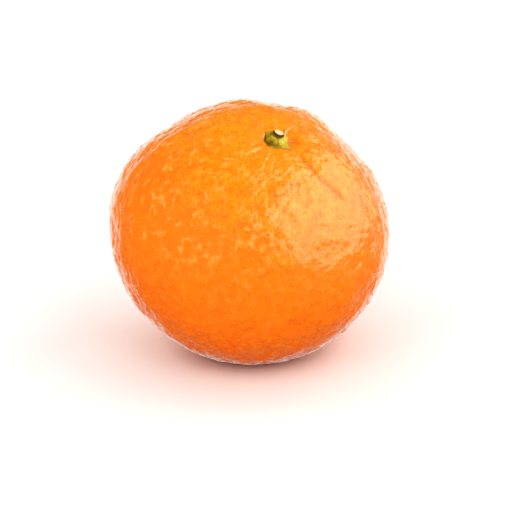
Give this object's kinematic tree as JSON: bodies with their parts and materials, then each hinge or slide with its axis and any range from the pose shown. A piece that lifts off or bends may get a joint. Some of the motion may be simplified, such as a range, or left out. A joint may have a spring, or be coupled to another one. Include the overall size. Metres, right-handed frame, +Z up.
{
  "type": "whole mandarin",
  "caption": "Loose-skinned orange citrus fruit, flattened globe with a puckered stalk end, small green calyx and cut stalk stub, leaning as it rests on a small flat spot.",
  "frame": {"origin": "centre of the bounding box's underside, in the plane of the flat spot that the fruit rests on", "axes": "+Z up from the resting plane; the stalk end leans 25.5 degrees from +Z, towards +X and -Y, and -Y is the side that shows the stalk end"},
  "size_m": [0.0666, 0.0664, 0.0587],
  "materials": {
    "rind": "waxy pebbled citrus rind, deep orange with paler glints on its oil glands, medium gloss",
    "calyx": "dull dry green, yellowish in the middle and browning at the sepal tips",
    "stalk": "matte cut wood, cream pith inside a thin brown bark"
  },
  "bodies": {
    "root": {"fruit": "rind", "calyx": "calyx", "stem_stub": "stalk"}
  },
  "joints": []
}
